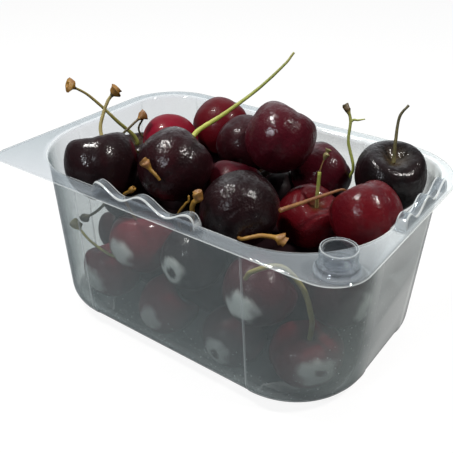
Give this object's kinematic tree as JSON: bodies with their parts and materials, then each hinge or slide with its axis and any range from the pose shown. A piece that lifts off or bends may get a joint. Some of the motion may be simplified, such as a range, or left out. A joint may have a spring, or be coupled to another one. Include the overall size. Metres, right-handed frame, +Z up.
{
  "type": "punnet of cherries",
  "caption": "Clear plastic punnet without its lid, with a wide flange, wavy lid ridges and a corner stud, heaped with dark red fresh fruit on the stem.",
  "frame": {"origin": "middle of the punnet's flat bottom, where it rests", "axes": "+Z up, +X along the punnet's long side towards its right end, +Y across it towards the back; the corner with the lid stud is at +X, -Y"},
  "size_m": [0.1574, 0.1048, 0.1052],
  "materials": {
    "clear_plastic": "thin clear formed plastic, faintly milky, glossy",
    "dark_cherry": "smooth glossy fruit skin, blackish purple to bright red"
  },
  "bodies": {
    "root": {"punnet": "clear_plastic", "cherry_heap": "dark_cherry"}
  },
  "joints": []
}
